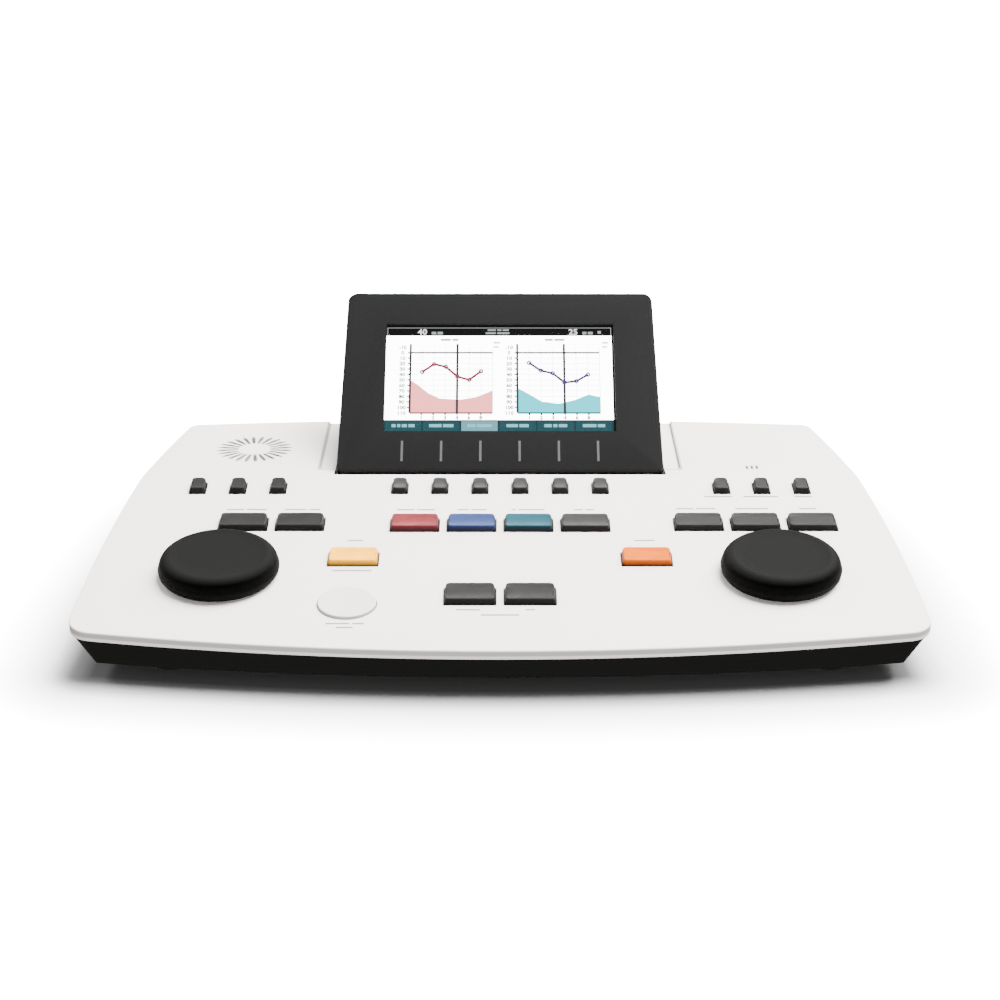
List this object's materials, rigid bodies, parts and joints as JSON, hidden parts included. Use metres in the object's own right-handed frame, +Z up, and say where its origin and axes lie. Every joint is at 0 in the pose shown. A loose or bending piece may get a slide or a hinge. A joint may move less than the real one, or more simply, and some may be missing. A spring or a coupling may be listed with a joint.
{
  "type": "audiometer",
  "caption": "Desktop audiometer: low wedge housing with a tilted key panel, two large dials, coloured and grey keys, a round key, and a tilting colour display at the rear.",
  "frame": {"origin": "centre of the whole object's box, on the table under the feet", "axes": "+X to the user's right, +Y to the rear, +Z up"},
  "size_m": [0.36, 0.243, 0.108],
  "materials": {
    "cover_plastic": "fine satin moulded texture",
    "base_plastic": "fine matt moulded texture",
    "connector_plastic": "matt",
    "socket_plastic": "matt",
    "socket_metal": "bright plated",
    "circuit_board": "lacquered board",
    "key_rubber": "matt silicone",
    "ribbon_plastic": "smooth",
    "speaker_plastic": "matt",
    "encoder_metal": "plated",
    "fastener_steel": "zinc plated",
    "hinge_steel": "plain",
    "foot_rubber": "matt",
    "display_plastic": "fine matt moulded texture",
    "window_glass": "clear, low gloss",
    "screen": "lit colour panel",
    "dial_plastic": "soft-touch matt",
    "round_key_plastic": "satin",
    "key_red": "satin",
    "key_blue": "satin",
    "key_teal": "satin",
    "key_grey": "satin",
    "key_yellow": "satin",
    "key_orange": "satin"
  },
  "bodies": {
    "chassis": {"top_cover": "cover_plastic", "base_shell": "base_plastic", "base_plate": "base_plastic", "display_well": "base_plastic", "connector_frame": "base_plastic", "connector_panel": "connector_plastic", "usb_plate": "connector_plastic", "main_board": "circuit_board", "key_board": "circuit_board", "key_mat": "key_rubber", "board_ribbon": "ribbon_plastic", "speaker": "speaker_plastic", "microphone": "speaker_plastic", "encoder_left": "encoder_metal", "encoder_right": "encoder_metal", "jack_sockets": "socket_plastic", "jack_nuts": "fastener_steel", "usb_socket": "socket_metal", "power_inlet": "socket_plastic", "hinge_brackets": "hinge_steel", "feet": "foot_rubber", "base_screws": "fastener_steel", "small_screws": "fastener_steel"},
    "display": {"display_bezel": "display_plastic", "display_back": "display_plastic", "display_window": "window_glass", "display_panel": "screen", "display_board": "circuit_board", "display_screws": "fastener_steel", "hinge_pins": "hinge_steel"},
    "left_dial": {"dial_left": "dial_plastic", "dial_shaft_left": "hinge_steel"},
    "right_dial": {"dial_right": "dial_plastic", "dial_shaft_right": "hinge_steel"},
    "soft_key_1": {"soft_key_1": "key_grey"},
    "soft_key_2": {"soft_key_2": "key_grey"},
    "soft_key_3": {"soft_key_3": "key_grey"},
    "soft_key_4": {"soft_key_4": "key_grey"},
    "soft_key_5": {"soft_key_5": "key_grey"},
    "soft_key_6": {"soft_key_6": "key_grey"},
    "left_small_key_1": {"left_small_key_1": "key_grey"},
    "left_small_key_2": {"left_small_key_2": "key_grey"},
    "left_small_key_3": {"left_small_key_3": "key_grey"},
    "right_small_key_1": {"right_small_key_1": "key_grey"},
    "right_small_key_2": {"right_small_key_2": "key_grey"},
    "right_small_key_3": {"right_small_key_3": "key_grey"},
    "red_key": {"red_key": "key_red"},
    "blue_key": {"blue_key": "key_blue"},
    "teal_key": {"teal_key": "key_teal"},
    "grey_key": {"grey_key": "key_grey"},
    "left_key_1": {"left_key_1": "key_grey"},
    "left_key_2": {"left_key_2": "key_grey"},
    "right_key_1": {"right_key_1": "key_grey"},
    "right_key_2": {"right_key_2": "key_grey"},
    "right_key_3": {"right_key_3": "key_grey"},
    "yellow_key": {"yellow_key": "key_yellow"},
    "orange_key": {"orange_key": "key_orange"},
    "front_key_1": {"front_key_1": "key_grey"},
    "front_key_2": {"front_key_2": "key_grey"},
    "round_key": {"round_key": "round_key_plastic"}
  },
  "joints": [
    {"name": "display_tilt", "type": "hinge", "parent": "chassis", "child": "display", "pos_m": [0, 0.04501, 0.0417], "axis": [1, 0, 0], "range_deg": [-30, 40]},
    {"name": "left_dial_turn", "type": "hinge", "parent": "chassis", "child": "left_dial", "pos_m": [-0.1215, -0.0599, 0.02983], "axis": [0, -0.1219, 0.9925], "continuous": true},
    {"name": "right_dial_turn", "type": "hinge", "parent": "chassis", "child": "right_dial", "pos_m": [0.1215, -0.0599, 0.02983], "axis": [0, -0.1219, 0.9925], "continuous": true},
    {"name": "soft_key_1_press", "type": "slide", "parent": "chassis", "child": "soft_key_1", "axis": [0, -0.1219, 0.9925], "range_m": [-0.0012, 0], "stiffness_N_per_m": 400},
    {"name": "soft_key_2_press", "type": "slide", "parent": "chassis", "child": "soft_key_2", "axis": [0, -0.1219, 0.9925], "range_m": [-0.0012, 0], "stiffness_N_per_m": 400},
    {"name": "soft_key_3_press", "type": "slide", "parent": "chassis", "child": "soft_key_3", "axis": [0, -0.1219, 0.9925], "range_m": [-0.0012, 0], "stiffness_N_per_m": 400},
    {"name": "soft_key_4_press", "type": "slide", "parent": "chassis", "child": "soft_key_4", "axis": [0, -0.1219, 0.9925], "range_m": [-0.0012, 0], "stiffness_N_per_m": 400},
    {"name": "soft_key_5_press", "type": "slide", "parent": "chassis", "child": "soft_key_5", "axis": [0, -0.1219, 0.9925], "range_m": [-0.0012, 0], "stiffness_N_per_m": 400},
    {"name": "soft_key_6_press", "type": "slide", "parent": "chassis", "child": "soft_key_6", "axis": [0, -0.1219, 0.9925], "range_m": [-0.0012, 0], "stiffness_N_per_m": 400},
    {"name": "left_small_key_1_press", "type": "slide", "parent": "chassis", "child": "left_small_key_1", "axis": [0, -0.1219, 0.9925], "range_m": [-0.0012, 0], "stiffness_N_per_m": 400},
    {"name": "left_small_key_2_press", "type": "slide", "parent": "chassis", "child": "left_small_key_2", "axis": [0, -0.1219, 0.9925], "range_m": [-0.0012, 0], "stiffness_N_per_m": 400},
    {"name": "left_small_key_3_press", "type": "slide", "parent": "chassis", "child": "left_small_key_3", "axis": [0, -0.1219, 0.9925], "range_m": [-0.0012, 0], "stiffness_N_per_m": 400},
    {"name": "right_small_key_1_press", "type": "slide", "parent": "chassis", "child": "right_small_key_1", "axis": [0, -0.1219, 0.9925], "range_m": [-0.0012, 0], "stiffness_N_per_m": 400},
    {"name": "right_small_key_2_press", "type": "slide", "parent": "chassis", "child": "right_small_key_2", "axis": [0, -0.1219, 0.9925], "range_m": [-0.0012, 0], "stiffness_N_per_m": 400},
    {"name": "right_small_key_3_press", "type": "slide", "parent": "chassis", "child": "right_small_key_3", "axis": [0, -0.1219, 0.9925], "range_m": [-0.0012, 0], "stiffness_N_per_m": 400},
    {"name": "red_key_press", "type": "slide", "parent": "chassis", "child": "red_key", "axis": [0, -0.1219, 0.9925], "range_m": [-0.0012, 0], "stiffness_N_per_m": 400},
    {"name": "blue_key_press", "type": "slide", "parent": "chassis", "child": "blue_key", "axis": [0, -0.1219, 0.9925], "range_m": [-0.0012, 0], "stiffness_N_per_m": 400},
    {"name": "teal_key_press", "type": "slide", "parent": "chassis", "child": "teal_key", "axis": [0, -0.1219, 0.9925], "range_m": [-0.0012, 0], "stiffness_N_per_m": 400},
    {"name": "grey_key_press", "type": "slide", "parent": "chassis", "child": "grey_key", "axis": [0, -0.1219, 0.9925], "range_m": [-0.0012, 0], "stiffness_N_per_m": 400},
    {"name": "left_key_1_press", "type": "slide", "parent": "chassis", "child": "left_key_1", "axis": [0, -0.1219, 0.9925], "range_m": [-0.0012, 0], "stiffness_N_per_m": 400},
    {"name": "left_key_2_press", "type": "slide", "parent": "chassis", "child": "left_key_2", "axis": [0, -0.1219, 0.9925], "range_m": [-0.0012, 0], "stiffness_N_per_m": 400},
    {"name": "right_key_1_press", "type": "slide", "parent": "chassis", "child": "right_key_1", "axis": [0, -0.1219, 0.9925], "range_m": [-0.0012, 0], "stiffness_N_per_m": 400},
    {"name": "right_key_2_press", "type": "slide", "parent": "chassis", "child": "right_key_2", "axis": [0, -0.1219, 0.9925], "range_m": [-0.0012, 0], "stiffness_N_per_m": 400},
    {"name": "right_key_3_press", "type": "slide", "parent": "chassis", "child": "right_key_3", "axis": [0, -0.1219, 0.9925], "range_m": [-0.0012, 0], "stiffness_N_per_m": 400},
    {"name": "yellow_key_press", "type": "slide", "parent": "chassis", "child": "yellow_key", "axis": [0, -0.1219, 0.9925], "range_m": [-0.0012, 0], "stiffness_N_per_m": 400},
    {"name": "orange_key_press", "type": "slide", "parent": "chassis", "child": "orange_key", "axis": [0, -0.1219, 0.9925], "range_m": [-0.0012, 0], "stiffness_N_per_m": 400},
    {"name": "front_key_1_press", "type": "slide", "parent": "chassis", "child": "front_key_1", "axis": [0, -0.1219, 0.9925], "range_m": [-0.0012, 0], "stiffness_N_per_m": 400},
    {"name": "front_key_2_press", "type": "slide", "parent": "chassis", "child": "front_key_2", "axis": [0, -0.1219, 0.9925], "range_m": [-0.0012, 0], "stiffness_N_per_m": 400},
    {"name": "round_key_press", "type": "slide", "parent": "chassis", "child": "round_key", "axis": [0, -0.1219, 0.9925], "range_m": [-0.0012, 0], "stiffness_N_per_m": 400}
  ]
}
